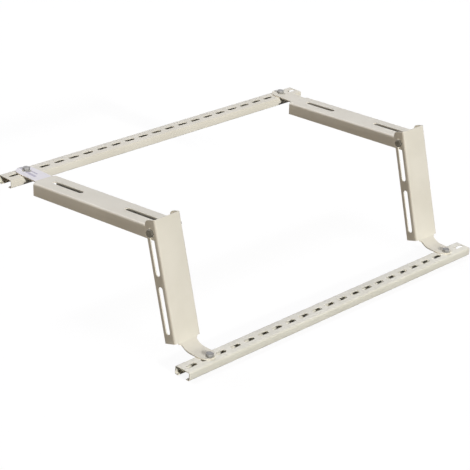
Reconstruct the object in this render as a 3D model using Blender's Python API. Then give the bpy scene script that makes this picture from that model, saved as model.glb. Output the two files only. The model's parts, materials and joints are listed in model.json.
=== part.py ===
# Air conditioner roof stand: two slotted rails that run along the roof, joined by two level arms,
# each bolted to the high back rail and to a leg that comes up from the low front rail.
# Origin: mid-length and mid-width of the front rail, on its underside.
# +X along the rails, +Y from the front rail to the back rail, +Z up.
import math

import bpy
import bmesh
from mathutils import Matrix, Vector

MM = 0.001

# Fits between pieces
SEAT_GAP = 0.3 * MM
THREAD_GAP = 0.3 * MM
SIDE_GAP = 0.3 * MM

# Rails: lipped channels, web up, open below
RAIL_LENGTH = 793 * MM
RAIL_WIDTH = 35.4 * MM
RAIL_HEIGHT = 16.5 * MM
RAIL_LIP = 8 * MM
RAIL_SHEET = 1.6 * MM
RAIL_BEND = 1.4 * MM
RAIL_TILT = math.radians(4)
RAIL_RUN = 467.3 * MM
RAIL_SLOT_PITCH = 36 * MM
RAIL_SLOT_LENGTH = 24 * MM
RAIL_SLOT_WIDTH = 8.7 * MM
RAIL_LEFT_MARGIN = 9.4 * MM
RAIL_LEAST_MARGIN = 2 * MM

# Arms: channels, web up, with a tongue on the back rail
ARM_WIDTH = 58.8 * MM
ARM_DEPTH = 24.4 * MM
ARM_SHEET = 2.3 * MM
ARM_BEND = 2 * MM
ARM_END_GAP = 1 * MM
ARM_WEB_SETBACK = 5 * MM
ARM_JOINT_DROP = 10.6 * MM
ARM_SLOT_LENGTH = 78 * MM
ARM_SLOT_WIDTH = 10 * MM
ARM_REAR_MARGIN = 22 * MM
ARM_FRONT_MARGIN = 25.3 * MM
ARM_TONGUE_WIDTH = 40 * MM
ARM_TONGUE_FILLET = 6 * MM
ARM_TONGUE_BEND = 4 * MM
ARM_TONGUE_ROOT = 2 * MM
ARM_TONGUE_REACH = 52.2 * MM
ARM_TONGUE_TIP = 17 * MM

# Legs: channels, web to the front, with a tongue on the front rail
LEG_LEAN = math.radians(13.05)
LEG_LENGTH = 224 * MM
LEG_DEPTH = 25 * MM
LEG_SHEET = 2.3 * MM
LEG_BEND = 2 * MM
LEG_TOP_CORNER = 9 * MM
LEG_SLOT_WIDTH = 10 * MM
LEG_SLOT_SETBACK = 14 * MM
LEG_FOOT_MARGIN = 16.5 * MM
LEG_SLOT_LAND = 18.7 * MM
LEG_TOP_MARGIN = 13.8 * MM
LEG_JOINT_MARGIN = 9 * MM
LEG_TONGUE_WIDTH = 37 * MM
LEG_TONGUE_FILLET = 5 * MM
LEG_TONGUE_TIP = 8.5 * MM
LEG_TONGUE_FLAT = 27.6 * MM
LEG_TONGUE_SWEEP = 30 * MM
LEG_RAMP_ANGLE = math.radians(41)
LEG_RAMP_LENGTH = 5 * MM
LEG_FOOT_BEND = 2 * MM

# Holes in the tongues, wider across the arm so that it can be squared up
TONGUE_HOLE_LENGTH = 15 * MM
TONGUE_HOLE_WIDTH = 9 * MM
JOINT_HOLE = 8.8 * MM

# M8 fixings
BOLT_DIAMETER = 8 * MM
BOLT_LENGTH = 16 * MM
HEAD_ACROSS_FLATS = 13 * MM
HEAD_HEIGHT = 5.3 * MM
NUT_HEIGHT = 6.5 * MM
FIXING_CHAMFER = 0.6 * MM
HEX_TURN = math.radians(30)

# The end of its rail slot that each bolt stands near, how far it is from there, and how far the tongue
# is shifted from its bolt
SIDES = {
    "left": {"front": ("right", 0.0, 0.0), "back": ("left", 0.0, -2.2 * MM)},
    "right": {"front": ("left", 1.2 * MM, 1.8 * MM), "back": ("right", 3.8 * MM, 0.0)},
}

# Facets of the curves
BEND_STEP = math.radians(22.5)
SWEEP_STEP = math.radians(7)
SLOT_STEPS = 8
TIP_STEPS = 18
FIXING_STEPS = 24
CUT_MARGIN = 1 * MM
UNION_OVERLAP = 6 * MM

# Colours
IVORY = (0.78, 0.75, 0.67, 1.0)
ZINC = (0.62, 0.63, 0.65, 1.0)


def clear_scene():
    for thing in list(bpy.data.objects):
        bpy.data.objects.remove(thing, do_unlink=True)


def material(name, colour, metallic, roughness):
    made = bpy.data.materials.new(name)
    made.use_nodes = True
    shader = made.node_tree.nodes["Principled BSDF"]
    shader.inputs["Base Color"].default_value = colour
    shader.inputs["Metallic"].default_value = metallic
    shader.inputs["Roughness"].default_value = roughness
    made.diffuse_color = colour
    return made


def painted(name):
    return material(name, IVORY, 0.0, 0.45)


def plated(name):
    return material(name, ZINC, 0.9, 0.35)


def add_object(name, shape, place, coat):
    mesh = bpy.data.meshes.new(name)
    bmesh.ops.recalc_face_normals(shape, faces=shape.faces)
    shape.to_mesh(mesh)
    shape.free()
    made = bpy.data.objects.new(name, mesh)
    bpy.context.scene.collection.objects.link(made)
    made.matrix_world = place
    if coat is not None:
        made.data.materials.append(coat)
    return made


def sheet_path(start, heading, moves, thickness):
    """Follows a folded sheet by its left face; returns the outline and the left face's end point."""
    point = Vector(start)
    left = []
    right = []

    def mark():
        side = Vector((-math.sin(heading), math.cos(heading)))
        left.append(point.copy())
        right.append(point - thickness * side)

    mark()
    for kind, amount, radius, step in moves:
        if kind == "line":
            point = point + amount * Vector((math.cos(heading), math.sin(heading)))
            mark()
            continue
        steps = max(1, math.ceil(abs(amount) / step))
        reach = radius if amount > 0 else radius + thickness
        turn = 1 if amount > 0 else -1
        centre = point + turn * reach * Vector((-math.sin(heading), math.cos(heading)))
        for _ in range(steps):
            heading += amount / steps
            point = centre - turn * reach * Vector((-math.sin(heading), math.cos(heading)))
            mark()
    return left + right[::-1], point


def line(length):
    return ("line", length, 0.0, BEND_STEP)


def bend(angle, radius, step=BEND_STEP):
    return ("bend", angle, radius, step)


def channel_outline(width, depth, sheet, radius):
    """Section of a plain channel, web up, centred on x, web's outer face at zero."""
    corner = radius + sheet
    moves = [
        line(depth - corner),
        bend(-math.pi / 2, radius),
        line(width - 2 * corner),
        bend(-math.pi / 2, radius),
        line(depth - corner),
    ]
    return sheet_path((-width / 2, -depth), math.pi / 2, moves, sheet)[0]


def lipped_outline(width, height, lip, sheet, radius):
    """Section of a lipped channel, web up, centred on x, lips' underside at zero."""
    corner = radius + sheet
    moves = [
        line(lip - corner),
        bend(-math.pi / 2, radius),
        line(height - 2 * corner),
        bend(-math.pi / 2, radius),
        line(width - 2 * corner),
        bend(-math.pi / 2, radius),
        line(height - 2 * corner),
        bend(-math.pi / 2, radius),
        line(lip - corner),
    ]
    return sheet_path((lip - width / 2, 0.0), math.pi, moves, sheet)[0]


def arc(centre, radius, start, end, steps):
    return [
        centre + radius * Vector((math.cos(a), math.sin(a)))
        for a in (start + (end - start) * i / steps for i in range(steps + 1))
    ]


def slot_outline(centre, length, width):
    """Slot with round ends, long along the first axis."""
    half = max(0.0, (length - width) / 2)
    middle = Vector(centre)
    offset = Vector((half, 0.0))
    quarter = math.pi / 2
    right_end = arc(middle + offset, width / 2, -quarter, quarter, SLOT_STEPS)
    left_end = arc(middle - offset, width / 2, quarter, 3 * quarter, SLOT_STEPS)
    if half == 0.0:
        return right_end + left_end[1:-1]
    return right_end + left_end


def box_outline(low_x, low_y, high_x, high_y):
    corners = ((low_x, low_y), (high_x, low_y), (high_x, high_y), (low_x, high_y))
    return [Vector(corner) for corner in corners]


def tongue_outline(half_width, fillet, root, tip, behind):
    """Plan of a tongue that leaves the sheet at root and ends half-round at tip, on the second axis."""
    way = 1 if tip > root else -1
    wide = half_width + fillet
    round_centre = Vector((0.0, tip - way * half_width))
    half = [Vector((wide, root - way * behind))]
    corner = Vector((wide, root + way * fillet))
    half += arc(corner, fillet, -way * math.pi / 2, -way * math.pi, SLOT_STEPS // 2)
    half += arc(round_centre, half_width, 0.0, way * math.pi / 2, TIP_STEPS // 2)
    other = [Vector((-p.x, p.y)) for p in half[-2::-1]]
    return half + other


def prism(shape, outline, low, high, basis):
    """Adds a closed prism: outline in the basis's first two axes, low to high along its third."""
    ends = []
    for level in (low, high):
        ends.append([shape.verts.new(basis @ Vector((p.x, p.y, level))) for p in outline])
    count = len(outline)
    for i in range(count):
        j = (i + 1) % count
        shape.faces.new((ends[0][i], ends[0][j], ends[1][j], ends[1][i]))
    shape.faces.new(ends[0][::-1])
    shape.faces.new(ends[1])


def axes(first, second, third, origin=(0.0, 0.0, 0.0)):
    """Matrix whose columns are three directions and an origin."""
    made = Matrix.Identity(4)
    for column, values in enumerate((first, second, third, origin)):
        for row in range(3):
            made[row][column] = values[row]
    return made


ACROSS_Y = axes((1, 0, 0), (0, 0, 1), (0, 1, 0))
ACROSS_Z = axes((1, 0, 0), (0, 1, 0), (0, 0, 1))
ACROSS_X = axes((0, 1, 0), (0, 0, 1), (1, 0, 0))


def solid(name, outlines, low, high, basis, place, coat=None):
    shape = bmesh.new()
    for outline in outlines:
        prism(shape, outline, low, high, basis)
    return add_object(name, shape, place, coat)


def cutter(name, outlines, low, high, basis, place):
    made = solid(name, outlines, low, high, basis, place)
    made.hide_render = True
    made.display_type = "WIRE"
    return made


def combine(target, tool, operation):
    step = target.modifiers.new(tool.name, "BOOLEAN")
    step.operation = operation
    step.solver = "EXACT"
    step.object = tool
    tool.hide_render = True
    tool.display_type = "WIRE"


def hexagon(angle):
    """Distance to a hexagon's edge as a share of half its width across flats."""
    return 1 / math.cos(math.fmod(angle, math.pi / 3) - math.pi / 6)


def ring(shape, height, radius, six_sided=False):
    made = []
    for i in range(FIXING_STEPS):
        angle = 2 * math.pi * i / FIXING_STEPS
        reach = radius * hexagon(angle) if six_sided else radius
        made.append(shape.verts.new((reach * math.cos(angle), reach * math.sin(angle), height)))
    return made


def skin(shape, rings, closed):
    pairs = list(zip(rings, rings[1:]))
    if closed:
        pairs.append((rings[-1], rings[0]))
    for low, high in pairs:
        for i in range(FIXING_STEPS):
            j = (i + 1) % FIXING_STEPS
            shape.faces.new((low[i], low[j], high[j], high[i]))
    if not closed:
        shape.faces.new(rings[0][::-1])
        shape.faces.new(rings[-1])


def bolt(name, place):
    """Hexagon bolt, head's underside at zero, shank down."""
    shape = bmesh.new()
    radius = BOLT_DIAMETER / 2
    flat = HEAD_ACROSS_FLATS / 2
    rings = [
        ring(shape, -BOLT_LENGTH, radius - FIXING_CHAMFER),
        ring(shape, FIXING_CHAMFER - BOLT_LENGTH, radius),
        ring(shape, 0.0, radius),
        ring(shape, 0.0, flat, True),
        ring(shape, HEAD_HEIGHT - FIXING_CHAMFER, flat, True),
        ring(shape, HEAD_HEIGHT, flat),
    ]
    skin(shape, rings, False)
    return add_object(name, shape, place, plated(name))


def nut(name, place):
    """Hexagon nut, top face at zero, body down."""
    shape = bmesh.new()
    flat = HEAD_ACROSS_FLATS / 2
    bore = BOLT_DIAMETER / 2 + THREAD_GAP
    rings = [
        ring(shape, -NUT_HEIGHT, flat),
        ring(shape, FIXING_CHAMFER - NUT_HEIGHT, flat, True),
        ring(shape, -FIXING_CHAMFER, flat, True),
        ring(shape, 0.0, flat),
        ring(shape, 0.0, bore),
        ring(shape, -NUT_HEIGHT, bore),
    ]
    skin(shape, rings, True)
    return add_object(name, shape, place, plated(name))


def tilted(y, z):
    """Place with its second axis up the rails' slope and its third square to their webs."""
    return Matrix.Translation((0.0, y, z)) @ Matrix.Rotation(RAIL_TILT, 4, "X")


def slot_middles():
    """Middles of a rail's slots, as many as its length holds."""
    first = RAIL_LEFT_MARGIN + RAIL_SLOT_LENGTH / 2 - RAIL_LENGTH / 2
    room = RAIL_LENGTH - RAIL_LEFT_MARGIN - RAIL_LEAST_MARGIN - RAIL_SLOT_LENGTH
    count = int(room / RAIL_SLOT_PITCH) + 1
    return [first + RAIL_SLOT_PITCH * i for i in range(count)]


def bolt_x(side, rail_end):
    """Where a bolt stands along its rail, in the second slot from the end."""
    slot_end, inset, _ = SIDES[side][rail_end]
    middle = SLOT_MIDDLES[1] if side == "left" else SLOT_MIDDLES[-2]
    room = (RAIL_SLOT_LENGTH - BOLT_DIAMETER) / 2 - THREAD_GAP - inset
    return middle + room if slot_end == "right" else middle - room


def side_place(side):
    """Turns an assembly in plan about the middle of the run, onto its centreline."""
    front = bolt_x(side, "front") + SIDES[side]["front"][2]
    back = bolt_x(side, "back") + SIDES[side]["back"][2]
    middle = Vector(((front + back) / 2, RAIL_RUN / 2, 0.0))
    turn = math.atan2(front - back, RAIL_RUN)
    return (
        Matrix.Translation(middle)
        @ Matrix.Rotation(turn, 4, "Z")
        @ Matrix.Translation((0.0, -RAIL_RUN / 2, 0.0))
    )


# Shapes that the pieces share, worked out once

SLOT_MIDDLES = slot_middles()
TONGUE_SEAT = RAIL_HEIGHT + SEAT_GAP
LEG_WIDTH = ARM_WIDTH + 2 * SIDE_GAP + 2 * LEG_SHEET
LEG_FOLD = math.pi / 2 - LEG_LEAN - RAIL_TILT

LEG_TONGUE_START = (-LEG_TONGUE_TIP, TONGUE_SEAT + LEG_SHEET)
LEG_MOVES = [
    line(LEG_TONGUE_TIP + LEG_TONGUE_FLAT),
    bend(LEG_RAMP_ANGLE, LEG_TONGUE_SWEEP, SWEEP_STEP),
    line(LEG_RAMP_LENGTH),
    bend(LEG_FOLD - LEG_RAMP_ANGLE, LEG_FOOT_BEND),
]
_, LEG_FOOT = sheet_path(LEG_TONGUE_START, 0.0, LEG_MOVES, LEG_SHEET)
LEG_STRIP, _ = sheet_path(LEG_TONGUE_START, 0.0, LEG_MOVES + [line(UNION_OVERLAP)], LEG_SHEET)
FRONT_SLOPE = tilted(0.0, 0.0)
LEG_ORIGIN = FRONT_SLOPE @ Vector((0.0, LEG_FOOT.x, LEG_FOOT.y))
LEG_UP = Vector((0.0, math.sin(LEG_LEAN), math.cos(LEG_LEAN)))
LEG_BACK = Vector((0.0, math.cos(LEG_LEAN), -math.sin(LEG_LEAN)))

# Two equal slots fill the leg's flanges between their margins
LEG_SLOT_LENGTH = (LEG_LENGTH - LEG_FOOT_MARGIN - LEG_SLOT_LAND - LEG_TOP_MARGIN) / 2
LEG_LOWER_SLOT = LEG_FOOT_MARGIN + LEG_SLOT_LENGTH / 2
LEG_UPPER_SLOT = LEG_LENGTH - LEG_TOP_MARGIN - LEG_SLOT_LENGTH / 2

# The joint stands near the upper slot's top end and sets the arm's height
JOINT_S = LEG_LENGTH - LEG_TOP_MARGIN - LEG_JOINT_MARGIN
JOINT_Y = LEG_ORIGIN.y + JOINT_S * LEG_UP.y + LEG_SLOT_SETBACK * LEG_BACK.y
JOINT_Z = LEG_ORIGIN.z + JOINT_S * LEG_UP.z + LEG_SLOT_SETBACK * LEG_BACK.z
ARM_TOP = JOINT_Z + ARM_JOINT_DROP

# The arm's tongue reaches the back rail; its bend sets where the arm's flanges end
ARM_REACH_Y = ARM_TONGUE_REACH * math.cos(RAIL_TILT)
ARM_REACH_Z = ARM_TONGUE_REACH * math.sin(RAIL_TILT)
ARM_TIP_Y = (ARM_TONGUE_REACH + ARM_TONGUE_TIP) * math.cos(RAIL_TILT)
ARM_TIP_Z = (ARM_TONGUE_REACH + ARM_TONGUE_TIP) * math.sin(RAIL_TILT)
BACK_DROP = TONGUE_SEAT + ARM_SHEET
ARM_BEND_Y = RAIL_RUN - BACK_DROP * math.sin(RAIL_TILT) - ARM_REACH_Y
ARM_BACK_Y = ARM_BEND_Y - ARM_TONGUE_ROOT
BACK_RAIL_Z = ARM_TOP + ARM_REACH_Z - BACK_DROP * math.cos(RAIL_TILT)
BACK_SLOPE = tilted(RAIL_RUN, BACK_RAIL_Z)

# The arm starts just behind the leg's web
LEG_WEB_S = (ARM_TOP - LEG_ORIGIN.z - LEG_SHEET * LEG_BACK.z) / LEG_UP.z
ARM_FRONT_Y = LEG_ORIGIN.y + LEG_WEB_S * LEG_UP.y + LEG_SHEET * LEG_BACK.y + ARM_END_GAP
ARM_SLOTS = (
    ARM_FRONT_Y + ARM_FRONT_MARGIN + ARM_SLOT_LENGTH / 2,
    ARM_BACK_Y - ARM_REAR_MARGIN - ARM_SLOT_LENGTH / 2,
)


def rail(name, place):
    outline = lipped_outline(RAIL_WIDTH, RAIL_HEIGHT, RAIL_LIP, RAIL_SHEET, RAIL_BEND)
    half = RAIL_LENGTH / 2
    made = solid(name, [outline], -half, half, ACROSS_X, place, painted(name))
    slots = [slot_outline((middle, 0.0), RAIL_SLOT_LENGTH, RAIL_SLOT_WIDTH) for middle in SLOT_MIDDLES]
    low = RAIL_HEIGHT - RAIL_SHEET - CUT_MARGIN
    high = RAIL_HEIGHT + CUT_MARGIN
    combine(made, cutter(name + "_slots", slots, low, high, ACROSS_Z, place), "DIFFERENCE")


def arm(name, place):
    outline = channel_outline(ARM_WIDTH, ARM_DEPTH, ARM_SHEET, ARM_BEND)
    along = place @ Matrix.Translation((0.0, 0.0, ARM_TOP))
    made = solid(name, [outline], ARM_FRONT_Y, ARM_BACK_Y, ACROSS_Y, along, painted(name))

    moves = [
        line(UNION_OVERLAP + ARM_TONGUE_ROOT),
        bend(RAIL_TILT, ARM_TONGUE_BEND, SWEEP_STEP),
        line(ARM_TONGUE_REACH + ARM_TONGUE_TIP),
    ]
    strip, _ = sheet_path((ARM_BACK_Y - UNION_OVERLAP, 0.0), 0.0, moves, ARM_SHEET)
    wide = ARM_WIDTH / 2
    tongue = solid(name + "_tongue", [strip], -wide, wide, ACROSS_X, along)
    tip = ARM_BEND_Y + ARM_TIP_Y
    plan = tongue_outline(
        ARM_TONGUE_WIDTH / 2, ARM_TONGUE_FILLET, ARM_BACK_Y, tip, UNION_OVERLAP + CUT_MARGIN
    )
    low = -ARM_SHEET - CUT_MARGIN
    high = ARM_TIP_Z + CUT_MARGIN
    combine(tongue, cutter(name + "_tongue_plan", [plan], low, high, ACROSS_Z, along), "INTERSECT")
    combine(made, tongue, "UNION")

    slots = [slot_outline((middle, 0.0), ARM_SLOT_LENGTH, ARM_SLOT_WIDTH) for middle in ARM_SLOTS]
    turned = axes((0, 1, 0), (-1, 0, 0), (0, 0, 1))
    combine(
        made,
        cutter(name + "_slots", slots, -ARM_SHEET - CUT_MARGIN, CUT_MARGIN, turned, along),
        "DIFFERENCE",
    )
    hole = slot_outline((0.0, 0.0), TONGUE_HOLE_LENGTH, TONGUE_HOLE_WIDTH)
    combine(
        made,
        cutter(
            name + "_tongue_hole",
            [hole],
            RAIL_HEIGHT - CUT_MARGIN,
            RAIL_HEIGHT + SEAT_GAP + ARM_SHEET + CUT_MARGIN,
            ACROSS_Z,
            place @ BACK_SLOPE,
        ),
        "DIFFERENCE",
    )
    setback = box_outline(
        -ARM_WIDTH,
        -ARM_SHEET - ARM_BEND,
        ARM_WIDTH,
        CUT_MARGIN,
    )
    combine(
        made,
        cutter(
            name + "_web_setback",
            [setback],
            ARM_FRONT_Y - CUT_MARGIN,
            ARM_FRONT_Y + ARM_WEB_SETBACK,
            ACROSS_Y,
            along,
        ),
        "DIFFERENCE",
    )
    joint = slot_outline((JOINT_Y, JOINT_Z), JOINT_HOLE, JOINT_HOLE)
    combine(
        made,
        cutter(name + "_joint_holes", [joint], -ARM_WIDTH, ARM_WIDTH, ACROSS_X, place),
        "DIFFERENCE",
    )


def leg(name, place):
    outline = channel_outline(LEG_WIDTH, LEG_DEPTH, LEG_SHEET, LEG_BEND)
    stand = place @ axes((1, 0, 0), -LEG_BACK, LEG_UP, LEG_ORIGIN)
    made = solid(name, [outline], 0.0, LEG_LENGTH, ACROSS_Z, stand, painted(name))

    wide = LEG_WIDTH / 2
    slope = place @ FRONT_SLOPE
    tongue = solid(name + "_tongue", [LEG_STRIP], -wide, wide, ACROSS_X, slope)
    plan = tongue_outline(
        LEG_TONGUE_WIDTH / 2, LEG_TONGUE_FILLET, LEG_FOOT.x, -LEG_TONGUE_TIP, UNION_OVERLAP
    )
    high = LEG_FOOT.y + UNION_OVERLAP + CUT_MARGIN
    combine(tongue, cutter(name + "_tongue_plan", [plan], 0.0, high, ACROSS_Z, slope), "INTERSECT")
    combine(made, tongue, "UNION")

    flank = axes((0, 0, 1), (0, -1, 0), (1, 0, 0))
    slots = [
        slot_outline((middle, LEG_SLOT_SETBACK), LEG_SLOT_LENGTH, LEG_SLOT_WIDTH)
        for middle in (LEG_LOWER_SLOT, LEG_UPPER_SLOT)
    ]
    combine(
        made,
        cutter(name + "_slots", slots, -LEG_WIDTH, LEG_WIDTH, flank, stand),
        "DIFFERENCE",
    )
    far = LEG_TOP_CORNER + CUT_MARGIN
    corner = Vector((LEG_LENGTH - LEG_TOP_CORNER, LEG_DEPTH - LEG_TOP_CORNER))
    rounding = arc(corner, LEG_TOP_CORNER, 0.0, math.pi / 2, SLOT_STEPS)
    rounding += [corner + Vector((0.0, far)), corner + Vector((far, far)), corner + Vector((far, 0.0))]
    combine(
        made,
        cutter(name + "_top_corners", [rounding], -LEG_WIDTH, LEG_WIDTH, flank, stand),
        "DIFFERENCE",
    )
    hole = slot_outline((0.0, 0.0), TONGUE_HOLE_LENGTH, TONGUE_HOLE_WIDTH)
    combine(
        made,
        cutter(
            name + "_tongue_hole",
            [hole],
            RAIL_HEIGHT - CUT_MARGIN,
            RAIL_HEIGHT + SEAT_GAP + LEG_SHEET + CUT_MARGIN,
            ACROSS_Z,
            slope,
        ),
        "DIFFERENCE",
    )


def rail_fixing(name, place, x, sheet):
    """Bolt down through a tongue and the rail's web, nut inside the rail."""
    turn = Matrix.Rotation(HEX_TURN, 4, "Z")
    seat = place @ Matrix.Translation((x, 0.0, TONGUE_SEAT + sheet)) @ turn
    bolt(name + "_bolt", seat @ Matrix.Translation((0.0, 0.0, SEAT_GAP)))
    below = sheet + RAIL_SHEET + 2 * SEAT_GAP
    nut(name + "_nut", seat @ Matrix.Translation((0.0, 0.0, -below)))


def joint_fixing(name, place, way):
    """Bolt through a leg's flange and the arm's flange, head outside, nut inside."""
    outer = Matrix.Translation((way * LEG_WIDTH / 2, JOINT_Y, JOINT_Z))
    facing = axes((0, way, 0), (0, 0, 1), (way, 0, 0))
    seat = place @ outer @ facing
    bolt(name + "_bolt", seat @ Matrix.Translation((0.0, 0.0, SEAT_GAP)))
    below = LEG_SHEET + ARM_SHEET + SIDE_GAP + SEAT_GAP
    nut(name + "_nut", seat @ Matrix.Translation((0.0, 0.0, -below)))


clear_scene()
rail("front_rail", FRONT_SLOPE)
rail("back_rail", BACK_SLOPE)
for side in SIDES:
    place = side_place(side)
    arm(side + "_arm", place)
    leg(side + "_leg", place)
    rail_fixing(side + "_front", FRONT_SLOPE, bolt_x(side, "front"), LEG_SHEET)
    rail_fixing(side + "_back", BACK_SLOPE, bolt_x(side, "back"), ARM_SHEET)
    joint_fixing(side + "_joint_outer", place, -1 if side == "left" else 1)
    joint_fixing(side + "_joint_inner", place, 1 if side == "left" else -1)
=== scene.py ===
# Looks of the air conditioner roof stand: ivory powder coat, zinc plated fixings, studio light and camera.
import json
import math

import bpy
import bmesh
from mathutils import Matrix, Vector


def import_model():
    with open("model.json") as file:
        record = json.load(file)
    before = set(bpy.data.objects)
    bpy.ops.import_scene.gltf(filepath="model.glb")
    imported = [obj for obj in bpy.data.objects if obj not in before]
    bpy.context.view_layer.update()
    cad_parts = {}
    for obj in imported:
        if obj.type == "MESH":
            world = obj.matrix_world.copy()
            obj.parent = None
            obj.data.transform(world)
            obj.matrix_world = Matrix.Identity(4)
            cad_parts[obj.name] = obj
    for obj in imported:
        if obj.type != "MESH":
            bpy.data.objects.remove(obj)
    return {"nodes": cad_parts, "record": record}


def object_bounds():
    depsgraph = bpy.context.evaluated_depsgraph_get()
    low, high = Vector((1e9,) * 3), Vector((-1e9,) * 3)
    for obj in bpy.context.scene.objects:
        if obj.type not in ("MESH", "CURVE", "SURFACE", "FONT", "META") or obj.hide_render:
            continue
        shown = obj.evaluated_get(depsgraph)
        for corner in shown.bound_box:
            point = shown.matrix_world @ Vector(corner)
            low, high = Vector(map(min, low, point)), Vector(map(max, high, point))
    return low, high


MM = 0.001

# Camera, from a fit to the slots and edges in the photograph
PHOTO_SIDE = 470
SENSOR = 36.0
FOCAL_PIXELS = 1645.0
CAMERA_PLACE = (-2.1488, -1.7936, 1.2979)
CAMERA_YAW = math.radians(-46.307)
CAMERA_PITCH = math.radians(-22.394)
CAMERA_ROLL = math.radians(-0.976)
CAMERA_NEAR = 0.05
CAMERA_FAR = 100.0

# Lights: level on a white card, the way it shines, its softness and whether it reaches the front rail
# alone, all but the front rail, or everything. As in the photograph, the key stands higher at the front rail.
FILL = (0.03, 0.028, 0.022, 1.0)
WHITE = (1.0, 1.0, 1.0, 1.0)
ALONE, OTHERS, ALL = "alone", "others", "all"
LAMPS = {
    "key": ((0.98, 0.95, 0.92), (0.20, 1.0, -0.30), math.radians(3), OTHERS),
    "overhead": ((0.40, 0.396, 0.43), (0.0, -0.80, -1.0), math.radians(20), OTHERS),
    "overhead_cast": ((0.28, 0.278, 0.30), (0.0, -0.80, -1.0), math.radians(20), OTHERS),
    "rail_key": ((0.97, 0.96, 0.935), (0.30, 1.0, -0.69), math.radians(4), ALONE),
    "rail_low": ((0.09, 0.09, 0.085), (0.15, 1.0, -0.06), math.radians(4), ALONE),
    "rail_overhead": ((0.36, 0.37, 0.45), (0.0, -0.80, -1.0), math.radians(20), ALONE),
    "side": ((0.125, 0.07, 0.015), (1.0, 0.1, -0.05), math.radians(40), ALL),
}

# Pieces that cast no shadow of a lamp, so that the arms' front ends and the legs' feet stay as light as they
# are in the photograph
LEGS = ("left_leg", "right_leg")
ARMS_AND_LEGS = ("left_arm", "right_arm") + LEGS
JOINT_BOLTS = (
    "left_joint_outer_bolt",
    "left_joint_inner_bolt",
    "right_joint_outer_bolt",
    "right_joint_inner_bolt",
)
SHADOWLESS = {
    "key": LEGS + JOINT_BOLTS,
    "overhead": ARMS_AND_LEGS,
    "overhead_cast": LEGS,
    "rail_overhead": ARMS_AND_LEGS,
}

# Floor: light that it gives back to the part, its own glow, how much a shadow shows on it, and its place
FLOOR_BOUNCE = 0.03
FLOOR_GLOW = 0.92
FLOOR_SHADE = 0.10
FLOOR_GAP = 0.4 * MM
FLOOR_REACH = 14.0

# Sheet edges, softened a little as powder coat leaves them
WELD_DISTANCE = 0.01 * MM
SMOOTH_ANGLE = math.radians(31)
EDGE_ROUND = 0.35 * MM
FIXING_EDGE_ROUND = 0.25 * MM
EDGE_SEGMENTS = 2

# Colours, linear
IVORY = (0.745, 0.726, 0.643, 1.0)
IVORY_DEEP = (0.705, 0.685, 0.600, 1.0)
IVORY_EDGE = (0.86, 0.82, 0.74, 1.0)
ZINC = (0.34, 0.34, 0.33, 1.0)
ZINC_WORN = (0.26, 0.26, 0.25, 1.0)
# Painted shade: darker tones laid on the end faces square to a fixing's axis
ZINC_PAINTED_SHADE_MID = (0.30, 0.30, 0.30, 1.0)
ZINC_PAINTED_SHADE_DEEP = (0.20, 0.195, 0.19, 1.0)
# Joint fixings: every zinc tone darkened as painted shade, the end faces darker still
JOINT_ZINC_PAINTED_SHADE = (0.19, 0.18, 0.155, 1.0)
JOINT_WORN_PAINTED_SHADE = (0.13, 0.12, 0.10, 1.0)
JOINT_END_PAINTED_SHADE_MID = (0.19, 0.175, 0.145, 1.0)
JOINT_END_PAINTED_SHADE_DEEP = (0.085, 0.08, 0.06, 1.0)
LABEL = (0.78, 0.775, 0.81, 1.0)
LABEL_BAR = (0.50, 0.49, 0.58, 1.0)

# Powder coat: mottling, lighter edges, gloss and orange peel
MOTTLE_SCALE = 14.0
MOTTLE_DETAIL = 3.0
MOTTLE_RANGE = (0.35, 0.65)
EDGE_SHARE = 0.35
EDGE_REACH = 1.2 * MM
EDGE_SAMPLES = 4
EDGE_RANGE = (0.98, 0.75)
PEEL_SCALE = 700.0
PEEL_DETAIL = 3.0
PEEL_STRENGTH = 0.25
PEEL_DEPTH = 0.1 * MM
COAT_ROUGHNESS = (0.36, 0.50)
COAT_IOR = 1.48
COAT_SPECULAR = 0.22

# Zinc plate: clouds, end faces darkened as painted shade, and fine grain
CLOUD_SCALE = 260.0
CLOUD_DETAIL = 4.0
PAINTED_SHADE_END_RANGE = (0.8, 0.95)
GRAIN_SCALE = 1800.0
GRAIN_DETAIL = 2.0
GRAIN_STRENGTH = 0.2
GRAIN_DEPTH = 0.05 * MM
ZINC_ROUGHNESS = (0.58, 0.72)
NOISE_RANGE = (0.3, 0.7)

# Blank label on the left arm's tongue: middle and half size seen from above, and its two plain bars
LABEL_MIDDLE = (-350.0 * MM, 449.0 * MM)
LABEL_HALF = (22.0 * MM, 33.0 * MM)
LABEL_BARS = (
    ((-353.0 * MM, 445.0 * MM), (3.6 * MM, 14.0 * MM)),
    ((-343.0 * MM, 447.0 * MM), (2.4 * MM, 9.0 * MM)),
)
LABEL_BLUR = 0.3 * MM
BAR_BLUR = 1.0 * MM
UPWARD_RANGE = (0.9, 0.95)

# Sockets of a colour mix
MIX_FIRST = 6
MIX_SECOND = 7
MIX_RESULT = 2


def new_material(name):
    made = bpy.data.materials.new(name)
    made.use_nodes = True
    nodes = made.node_tree.nodes
    return made, nodes, made.node_tree.links, nodes["Principled BSDF"]


def noise(nodes, links, place, scale, detail):
    made = nodes.new("ShaderNodeTexNoise")
    made.inputs["Scale"].default_value = scale
    made.inputs["Detail"].default_value = detail
    links.new(place, made.inputs["Vector"])
    return made.outputs["Fac"]


def spread(nodes, links, value, low, high, out_low=0.0, out_high=1.0):
    made = nodes.new("ShaderNodeMapRange")
    for socket, amount in zip(("From Min", "From Max", "To Min", "To Max"), (low, high, out_low, out_high)):
        made.inputs[socket].default_value = amount
    links.new(value, made.inputs["Value"])
    return made.outputs["Result"]


def blend_colour(nodes, links, share, first, second):
    made = nodes.new("ShaderNodeMix")
    made.data_type = "RGBA"
    links.new(share, made.inputs["Factor"])
    for socket, value in ((MIX_FIRST, first), (MIX_SECOND, second)):
        if isinstance(value, tuple):
            made.inputs[socket].default_value = value
        else:
            links.new(value, made.inputs[socket])
    return made.outputs[MIX_RESULT]


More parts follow.
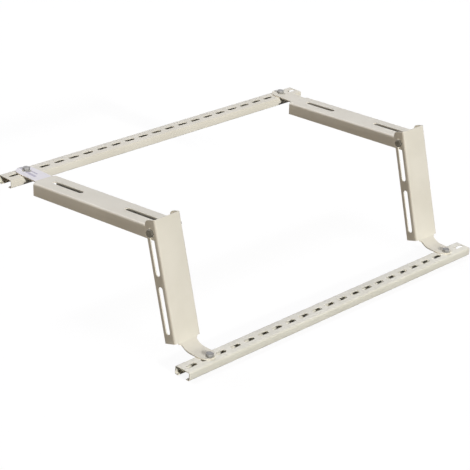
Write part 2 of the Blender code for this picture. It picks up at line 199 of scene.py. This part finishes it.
def rough_skin(nodes, links, height, strength, depth, shader):
    bump = nodes.new("ShaderNodeBump")
    bump.inputs["Strength"].default_value = strength
    bump.inputs["Distance"].default_value = depth
    links.new(height, bump.inputs["Height"])
    links.new(bump.outputs["Normal"], shader.inputs["Normal"])


def edge_mask(nodes, links):
    """1 on sharp edges, 0 on flats: how far the rounded normal departs from the true one."""
    rounded = nodes.new("ShaderNodeBevel")
    rounded.samples = EDGE_SAMPLES
    rounded.inputs["Radius"].default_value = EDGE_REACH
    true = nodes.new("ShaderNodeNewGeometry")
    dot = nodes.new("ShaderNodeVectorMath")
    dot.operation = "DOT_PRODUCT"
    links.new(rounded.outputs["Normal"], dot.inputs[0])
    links.new(true.outputs["Normal"], dot.inputs[1])
    return spread(nodes, links, dot.outputs["Value"], *EDGE_RANGE)


def inside(nodes, links, axes, middle, half, blur):
    """1 inside a rectangle seen from above, 0 outside."""
    least = None
    for axis, centre, reach in zip(axes, middle, half):
        off = nodes.new("ShaderNodeMath")
        off.operation = "SUBTRACT"
        links.new(axis, off.inputs[0])
        off.inputs[1].default_value = centre
        size = nodes.new("ShaderNodeMath")
        size.operation = "ABSOLUTE"
        links.new(off.outputs[0], size.inputs[0])
        share = spread(nodes, links, size.outputs[0], reach, reach - blur)
        if least is None:
            least = share
        else:
            both = nodes.new("ShaderNodeMath")
            both.operation = "MULTIPLY"
            links.new(least, both.inputs[0])
            links.new(share, both.inputs[1])
            least = both.outputs[0]
    return least


def label_over(nodes, links, place, coat):
    """The coat's colour with a blank label laid over its upper faces."""
    parts = nodes.new("ShaderNodeSeparateXYZ")
    links.new(place, parts.inputs[0])
    axes = (parts.outputs["X"], parts.outputs["Y"])
    facing = nodes.new("ShaderNodeSeparateXYZ")
    links.new(nodes.new("ShaderNodeNewGeometry").outputs["True Normal"], facing.inputs[0])
    upper = spread(nodes, links, facing.outputs["Z"], *UPWARD_RANGE)
    paper = LABEL
    for middle, half in LABEL_BARS:
        bar = inside(nodes, links, axes, middle, half, BAR_BLUR)
        paper = blend_colour(nodes, links, bar, paper, LABEL_BAR)
    whole = nodes.new("ShaderNodeMath")
    whole.operation = "MULTIPLY"
    links.new(inside(nodes, links, axes, LABEL_MIDDLE, LABEL_HALF, LABEL_BLUR), whole.inputs[0])
    links.new(upper, whole.inputs[1])
    return blend_colour(nodes, links, whole.outputs[0], coat, paper)


def powder_coat(name, labelled=False):
    made, nodes, links, shader = new_material(name)
    place = nodes.new("ShaderNodeTexCoord").outputs["Object"]
    patches = spread(nodes, links, noise(nodes, links, place, MOTTLE_SCALE, MOTTLE_DETAIL), *MOTTLE_RANGE)
    mottled = blend_colour(nodes, links, patches, IVORY, IVORY_DEEP)
    weak = nodes.new("ShaderNodeMath")
    weak.operation = "MULTIPLY"
    weak.inputs[1].default_value = EDGE_SHARE
    links.new(edge_mask(nodes, links), weak.inputs[0])
    coloured = blend_colour(nodes, links, weak.outputs[0], mottled, IVORY_EDGE)
    if labelled:
        coloured = label_over(nodes, links, place, coloured)
    links.new(coloured, shader.inputs["Base Color"])
    peel = noise(nodes, links, place, PEEL_SCALE, PEEL_DETAIL)
    links.new(spread(nodes, links, peel, *NOISE_RANGE, *COAT_ROUGHNESS), shader.inputs["Roughness"])
    shader.inputs["IOR"].default_value = COAT_IOR
    shader.inputs["Specular IOR Level"].default_value = COAT_SPECULAR
    rough_skin(nodes, links, peel, PEEL_STRENGTH, PEEL_DEPTH, shader)
    return made


def zinc_plate(name, axis, flats, ends):
    """Zinc in two tones on the flats and two darker ones, painted shade, on the faces square to the fixing's
    axis.
    """
    made, nodes, links, shader = new_material(name)
    place = nodes.new("ShaderNodeTexCoord").outputs["Object"]
    clouds = spread(nodes, links, noise(nodes, links, place, CLOUD_SCALE, CLOUD_DETAIL), *NOISE_RANGE)
    facing = nodes.new("ShaderNodeVectorMath")
    facing.operation = "DOT_PRODUCT"
    links.new(nodes.new("ShaderNodeNewGeometry").outputs["Normal"], facing.inputs[0])
    facing.inputs[1].default_value = axis
    size = nodes.new("ShaderNodeMath")
    size.operation = "ABSOLUTE"
    links.new(facing.outputs["Value"], size.inputs[0])
    flat = blend_colour(nodes, links, clouds, *flats)
    end = blend_colour(nodes, links, clouds, *ends)
    # Painted shade: the faces square to the axis take the darker end tones
    share = spread(nodes, links, size.outputs[0], *PAINTED_SHADE_END_RANGE)
    links.new(blend_colour(nodes, links, share, flat, end), shader.inputs["Base Color"])
    shader.inputs["Metallic"].default_value = 1.0
    fine = noise(nodes, links, place, GRAIN_SCALE, GRAIN_DETAIL)
    links.new(spread(nodes, links, fine, *NOISE_RANGE, *ZINC_ROUGHNESS), shader.inputs["Roughness"])
    rough_skin(nodes, links, fine, GRAIN_STRENGTH, GRAIN_DEPTH, shader)
    return made


def soften():
    """Node group that welds a mesh and shades it smooth except across sharp folds."""
    group = bpy.data.node_groups.new("soften_folds", "GeometryNodeTree")
    group.interface.new_socket("Geometry", in_out="INPUT", socket_type="NodeSocketGeometry")
    group.interface.new_socket("Geometry", in_out="OUTPUT", socket_type="NodeSocketGeometry")
    nodes, links = group.nodes, group.links
    entry = nodes.new("NodeGroupInput")
    leave = nodes.new("NodeGroupOutput")
    weld = nodes.new("GeometryNodeMergeByDistance")
    weld.inputs["Distance"].default_value = WELD_DISTANCE
    whole = nodes.new("GeometryNodeSetShadeSmooth")
    folds = nodes.new("GeometryNodeSetShadeSmooth")
    folds.domain = "EDGE"
    folds.inputs["Shade Smooth"].default_value = False
    angle = nodes.new("GeometryNodeInputMeshEdgeAngle")
    sharp = nodes.new("FunctionNodeCompare")
    sharp.operation = "GREATER_THAN"
    sharp.inputs[1].default_value = SMOOTH_ANGLE
    links.new(angle.outputs["Unsigned Angle"], sharp.inputs[0])
    links.new(entry.outputs[0], weld.inputs["Geometry"])
    links.new(weld.outputs["Geometry"], whole.inputs["Geometry"])
    links.new(whole.outputs["Geometry"], folds.inputs["Geometry"])
    links.new(sharp.outputs["Result"], folds.inputs["Selection"])
    links.new(folds.outputs["Geometry"], leave.inputs[0])
    return group


def dress(piece, coat, group, rounding):
    piece.data.materials.clear()
    piece.data.materials.append(coat)
    step = piece.modifiers.new("folds", "NODES")
    step.node_group = group
    edge = piece.modifiers.new("edges", "BEVEL")
    edge.width = rounding
    edge.segments = EDGE_SEGMENTS
    edge.limit_method = "ANGLE"
    edge.angle_limit = SMOOTH_ANGLE
    edge.harden_normals = True


def floor(height):
    mesh = bpy.data.meshes.new("studio_floor")
    shape = bmesh.new()
    bmesh.ops.create_grid(shape, x_segments=1, y_segments=1, size=FLOOR_REACH)
    shape.to_mesh(mesh)
    shape.free()
    made = bpy.data.objects.new("studio_floor", mesh)
    made.location = (0.0, 0.0, height)
    bpy.context.scene.collection.objects.link(made)
    coat, nodes, links, shader = new_material("studio_floor")
    output = nodes["Material Output"]
    nodes.remove(shader)
    bounce = nodes.new("ShaderNodeBsdfDiffuse")
    bounce.inputs["Color"].default_value = (FLOOR_BOUNCE,) * 3 + (1.0,)
    shade = nodes.new("ShaderNodeBsdfDiffuse")
    shade.inputs["Color"].default_value = (FLOOR_SHADE,) * 3 + (1.0,)
    glow = nodes.new("ShaderNodeEmission")
    glow.inputs["Strength"].default_value = FLOOR_GLOW
    seen = nodes.new("ShaderNodeAddShader")
    links.new(shade.outputs[0], seen.inputs[0])
    links.new(glow.outputs[0], seen.inputs[1])
    choose = nodes.new("ShaderNodeMixShader")
    links.new(background_rays(nodes, links), choose.inputs[0])
    links.new(bounce.outputs[0], choose.inputs[1])
    links.new(seen.outputs[0], choose.inputs[2])
    links.new(choose.outputs[0], output.inputs["Surface"])
    mesh.materials.append(coat)


def background_rays(nodes, links):
    """1 for rays that show the background: straight from the camera, off gloss or through glass."""
    path = nodes.new("ShaderNodeLightPath")
    total = path.outputs["Is Camera Ray"]
    for name in ("Is Glossy Ray", "Is Transmission Ray"):
        either = nodes.new("ShaderNodeMath")
        either.operation = "MAXIMUM"
        links.new(total, either.inputs[0])
        links.new(path.outputs[name], either.inputs[1])
        total = either.outputs[0]
    return total


def world():
    made = bpy.data.worlds.new("studio")
    made.use_nodes = True
    nodes, links = made.node_tree.nodes, made.node_tree.links
    colour = blend_colour(nodes, links, background_rays(nodes, links), FILL, WHITE)
    links.new(colour, nodes["Background"].inputs["Color"])
    bpy.context.scene.world = made


def sun(name, level, way, softness):
    lamp = bpy.data.lights.new(name, "SUN")
    lamp.energy = max(level) * math.pi
    lamp.color = [share / max(level) for share in level]
    lamp.angle = softness
    made = bpy.data.objects.new(name, lamp)
    made.rotation_mode = "QUATERNION"
    made.rotation_quaternion = Vector(way).to_track_quat("-Z", "Y")
    bpy.context.scene.collection.objects.link(made)
    return made


def limit_reach(lamp, piece, reach):
    """Lets a lamp shine on one piece alone, on all but that piece, or on everything."""
    if reach == ALL:
        return
    reached = bpy.data.collections.new(lamp.name + "_reaches")
    reached.objects.link(piece)
    reached.collection_objects[0].light_linking.link_state = "INCLUDE" if reach == ALONE else "EXCLUDE"
    lamp.light_linking.receiver_collection = reached


def spare_shadow(lamp, pieces):
    """Keeps pieces from casting this lamp's shadow."""
    spared = bpy.data.collections.new(lamp.name + "_passes")
    for piece in pieces:
        spared.objects.link(piece)
    for entry in spared.collection_objects:
        entry.light_linking.link_state = "EXCLUDE"
    lamp.light_linking.blocker_collection = spared


def camera():
    data = bpy.data.cameras.new("camera")
    data.sensor_width = SENSOR
    data.lens = FOCAL_PIXELS * SENSOR / PHOTO_SIDE
    data.clip_start = CAMERA_NEAR
    data.clip_end = CAMERA_FAR
    made = bpy.data.objects.new("camera", data)
    turn = (
        Matrix.Rotation(CAMERA_YAW, 4, "Z")
        @ Matrix.Rotation(CAMERA_PITCH, 4, "X")
        @ Matrix.Rotation(CAMERA_ROLL, 4, "Y")
        @ Matrix.Rotation(math.pi / 2, 4, "X")
    )
    made.matrix_world = Matrix.Translation(CAMERA_PLACE) @ turn
    bpy.context.scene.collection.objects.link(made)
    bpy.context.scene.camera = made


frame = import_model()
cad_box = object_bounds()
slots = {s["node"]: s["material_slot"] for s in frame["record"]["subparts"]}
ivory = powder_coat("ivory_powder_coat")
labelled_ivory = powder_coat("ivory_powder_coat_with_blank_label", labelled=True)
# Rail fixings: the head tops, square to the upright axis, are darkened as painted shade
rail_zinc = zinc_plate("zinc_plate_rail_fixings", (0.0, 0.0, 1.0), (ZINC, ZINC_WORN), (ZINC_PAINTED_SHADE_MID, ZINC_PAINTED_SHADE_DEEP))
# Joint fixings: a darker copy of the zinc, painted shade throughout
joint_painted_shade_ends = (JOINT_END_PAINTED_SHADE_MID, JOINT_END_PAINTED_SHADE_DEEP)
joint_zinc_painted_shade = zinc_plate("zinc_plate_joint_fixings_painted_shade", (1.0, 0.0, 0.0), (JOINT_ZINC_PAINTED_SHADE, JOINT_WORN_PAINTED_SHADE), joint_painted_shade_ends)
smoothing = soften()
for name, piece in frame["nodes"].items():
    if slots[name] == "ivory_paint":
        dress(piece, labelled_ivory if name == "left_arm" else ivory, smoothing, EDGE_ROUND)
    else:
        dress(piece, joint_zinc_painted_shade if "_joint_" in name else rail_zinc, smoothing, FIXING_EDGE_ROUND)
floor(cad_box[0].z - FLOOR_GAP)
world()
for name, (level, way, softness, reach) in LAMPS.items():
    lamp = sun(name, level, way, softness)
    limit_reach(lamp, frame["nodes"]["front_rail"], reach)
    if name in SHADOWLESS:
        spare_shadow(lamp, [frame["nodes"][piece] for piece in SHADOWLESS[name]])
camera()
bpy.context.scene.view_settings.view_transform = "Standard"
